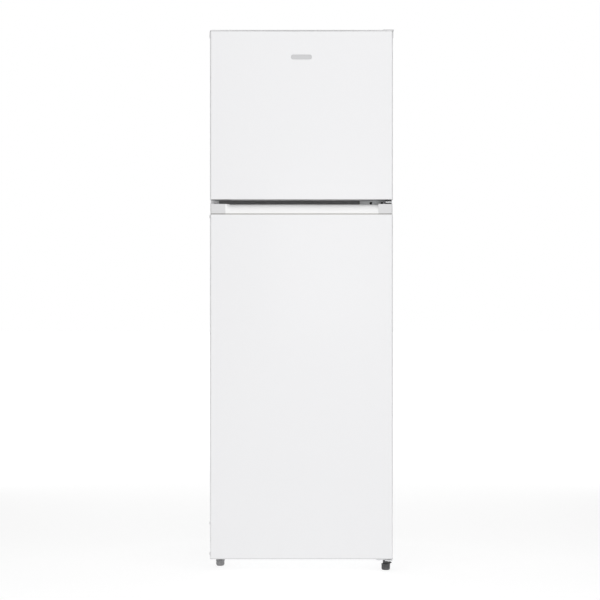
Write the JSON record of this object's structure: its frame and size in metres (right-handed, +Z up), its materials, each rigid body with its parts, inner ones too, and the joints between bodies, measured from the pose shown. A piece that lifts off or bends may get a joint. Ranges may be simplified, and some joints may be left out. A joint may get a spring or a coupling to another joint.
{
  "type": "top freezer refrigerator",
  "caption": "White refrigerator with a freezer door above a taller fridge door, both hinged on the right, a sloped grip between them, levelling feet in front and rollers behind.",
  "frame": {"origin": "on the floor, under the middle of the whole refrigerator", "axes": "+Z up, the doors face -Y, and the door hinges are at +X"},
  "size_m": [0.556, 0.59, 1.6296],
  "materials": {
    "door_steel": "gloss",
    "cap_plastic": "satin",
    "liner_plastic": "satin",
    "clear_plastic": "gloss",
    "lamp_lens": "satin",
    "ice_plastic": "satin",
    "shelf_glass": "polished",
    "freezer_grid": "satin",
    "door_seal": "matte",
    "dark_trim": "matte",
    "black_plastic": "satin",
    "zinc_steel": "satin",
    "screw_black": "satin",
    "compressor_black": "gloss",
    "mount_rubber": "matte",
    "tube_metal": "satin",
    "fin_metal": "satin",
    "motor_metal": "satin",
    "foam": "matte",
    "badge_metal": "satin",
    "foot_grey": "satin",
    "foot_dark": "satin",
    "roller_plastic": "satin"
  },
  "bodies": {
    "cabinet": {"cabinet_shell": "door_steel", "top_cover": "cap_plastic", "hinge_cover": "cap_plastic", "hinge_hole_plug": "cap_plastic", "freezer_liner": "liner_plastic", "fridge_liner": "liner_plastic", "evaporator_cover": "liner_plastic", "air_duct": "liner_plastic", "control_box": "liner_plastic", "ice_tray_frame": "liner_plastic", "shelf_trims": "liner_plastic", "lamp_cover": "lamp_lens", "glass_shelves": "shelf_glass", "freezer_shelf": "freezer_grid", "mullion_trim": "dark_trim", "hinge_washers": "black_plastic", "relay_cover": "black_plastic", "drip_tray": "black_plastic", "base_pan": "zinc_steel", "compressor_base": "zinc_steel", "compressor_cover": "zinc_steel", "back_panel": "zinc_steel", "top_hinge": "zinc_steel", "middle_hinge": "zinc_steel", "bottom_hinge": "zinc_steel", "panel_screws": "screw_black", "compressor": "compressor_black", "compressor_grommets": "mount_rubber", "cord_inlet": "mount_rubber", "refrigerant_tubes": "tube_metal", "evaporator": "fin_metal", "fan_motor": "motor_metal", "cabinet_foam": "foam"},
    "freezer_door": {"freezer_door_skin": "door_steel", "freezer_door_foam": "foam", "freezer_door_liner": "liner_plastic", "freezer_door_gasket": "door_seal", "freezer_door_top_cap": "cap_plastic", "freezer_door_bottom_cap": "cap_plastic", "freezer_door_bins": "clear_plastic", "badge": "badge_metal"},
    "fridge_door": {"fridge_door_skin": "door_steel", "fridge_door_foam": "foam", "fridge_door_liner": "liner_plastic", "fridge_door_gasket": "door_seal", "fridge_door_top_cap": "cap_plastic", "fridge_door_bottom_cap": "cap_plastic", "fridge_door_bins": "clear_plastic", "bottle_bin": "clear_plastic", "door_edge_plugs": "cap_plastic"},
    "crisper": {"crisper_drawer": "clear_plastic"},
    "ice_box": {"ice_bin": "clear_plastic"},
    "ice_tray": {"ice_tray": "ice_plastic"},
    "fan": {"fan_impeller": "black_plastic"},
    "knob": {"thermostat_knob": "liner_plastic"},
    "lamp_plunger": {"lamp_switch_plunger": "liner_plastic"},
    "left_foot": {"left_foot": "foot_grey"},
    "right_foot": {"right_foot": "foot_dark"},
    "left_roller": {"left_roller": "roller_plastic"},
    "right_roller": {"right_roller": "roller_plastic"}
  },
  "joints": [
    {"name": "freezer_door_hinge", "type": "hinge", "parent": "cabinet", "child": "freezer_door", "pos_m": [0.262, -0.267, 1.6156], "axis": [0, 0, 1], "range_deg": [0, 120]},
    {"name": "fridge_door_hinge", "type": "hinge", "parent": "cabinet", "child": "fridge_door", "pos_m": [0.262, -0.267, 1.098], "axis": [0, 0, 1], "range_deg": [0, 120]},
    {"name": "crisper_slide", "type": "slide", "parent": "cabinet", "child": "crisper", "axis": [0, -1, 0], "range_m": [0, 0.2]},
    {"name": "ice_bin_slide", "type": "slide", "parent": "cabinet", "child": "ice_box", "axis": [0, -1, 0], "range_m": [0, 0.15]},
    {"name": "lamp_switch_slide", "type": "slide", "parent": "cabinet", "child": "lamp_plunger", "axis": [0, -1, 0], "range_m": [0, 0.008]},
    {"name": "ice_tray_twist", "type": "hinge", "parent": "cabinet", "child": "ice_tray", "pos_m": [-0.161, -0.139, 1.455], "axis": [0, 1, 0], "range_deg": [0, 150]},
    {"name": "thermostat_turn", "type": "hinge", "parent": "cabinet", "child": "knob", "pos_m": [0.05, -0.129, 1.0488], "axis": [0, -1, 0], "range_deg": [-135, 135]},
    {"name": "fan_spin", "type": "hinge", "parent": "cabinet", "child": "fan", "pos_m": [0, 0.16, 1.4796], "axis": [0, 1, 0], "continuous": true},
    {"name": "left_foot_turn", "type": "hinge", "parent": "cabinet", "child": "left_foot", "pos_m": [-0.248, -0.184, 0.018], "axis": [0, 0, 1], "continuous": true},
    {"name": "right_foot_turn", "type": "hinge", "parent": "cabinet", "child": "right_foot", "pos_m": [0.254, -0.246, 0.018], "axis": [0, 0, 1], "continuous": true},
    {"name": "left_roller_spin", "type": "hinge", "parent": "cabinet", "child": "left_roller", "pos_m": [-0.23, 0.251, 0.012], "axis": [1, 0, 0], "continuous": true},
    {"name": "right_roller_spin", "type": "hinge", "parent": "cabinet", "child": "right_roller", "pos_m": [0.23, 0.251, 0.012], "axis": [1, 0, 0], "continuous": true}
  ],
  "couplings": [
    {"joint": "crisper_slide", "follows": "fridge_door_hinge", "m_per_rad": 0.095},
    {"joint": "lamp_switch_slide", "follows": "fridge_door_hinge", "m_per_rad": 0.0038},
    {"joint": "ice_bin_slide", "follows": "freezer_door_hinge", "m_per_rad": 0.07}
  ]
}
